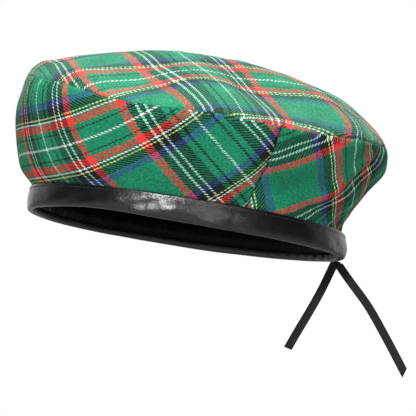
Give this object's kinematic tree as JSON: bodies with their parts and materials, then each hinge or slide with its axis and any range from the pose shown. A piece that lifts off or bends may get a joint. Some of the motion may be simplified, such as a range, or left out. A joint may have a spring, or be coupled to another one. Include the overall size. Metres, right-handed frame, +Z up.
{
  "type": "tam o' shanter",
  "caption": "Soft round tartan hat: a wide crown of top panel and side ring over a folded leather band, with an open head hollow, a lining, and ribbon tails tied under the band at the back.",
  "frame": {"origin": "centre of the head opening, on the level of the band's bottom edge at the front, left and back", "axes": "+Z up through the crown, -Y towards the front, +X towards the wearer's left"},
  "size_m": [0.2213, 0.2708, 0.1799],
  "materials": {
    "crown_top": "brushed tartan cloth",
    "side_front": "brushed tartan cloth",
    "side_back": "brushed tartan cloth",
    "band": "smooth black leather with a soft sheen",
    "lining": "smooth black lining cloth",
    "ribbon_knot": "ribbed black ribbon",
    "ribbon_tail_front": "ribbed black ribbon",
    "ribbon_tail_back": "ribbed black ribbon"
  },
  "bodies": {
    "root": {"crown_top": "crown_top", "side_front": "side_front", "side_back": "side_back", "band": "band", "lining": "lining", "ribbon_knot": "ribbon_knot", "ribbon_tail_front": "ribbon_tail_front", "ribbon_tail_back": "ribbon_tail_back"}
  },
  "joints": []
}
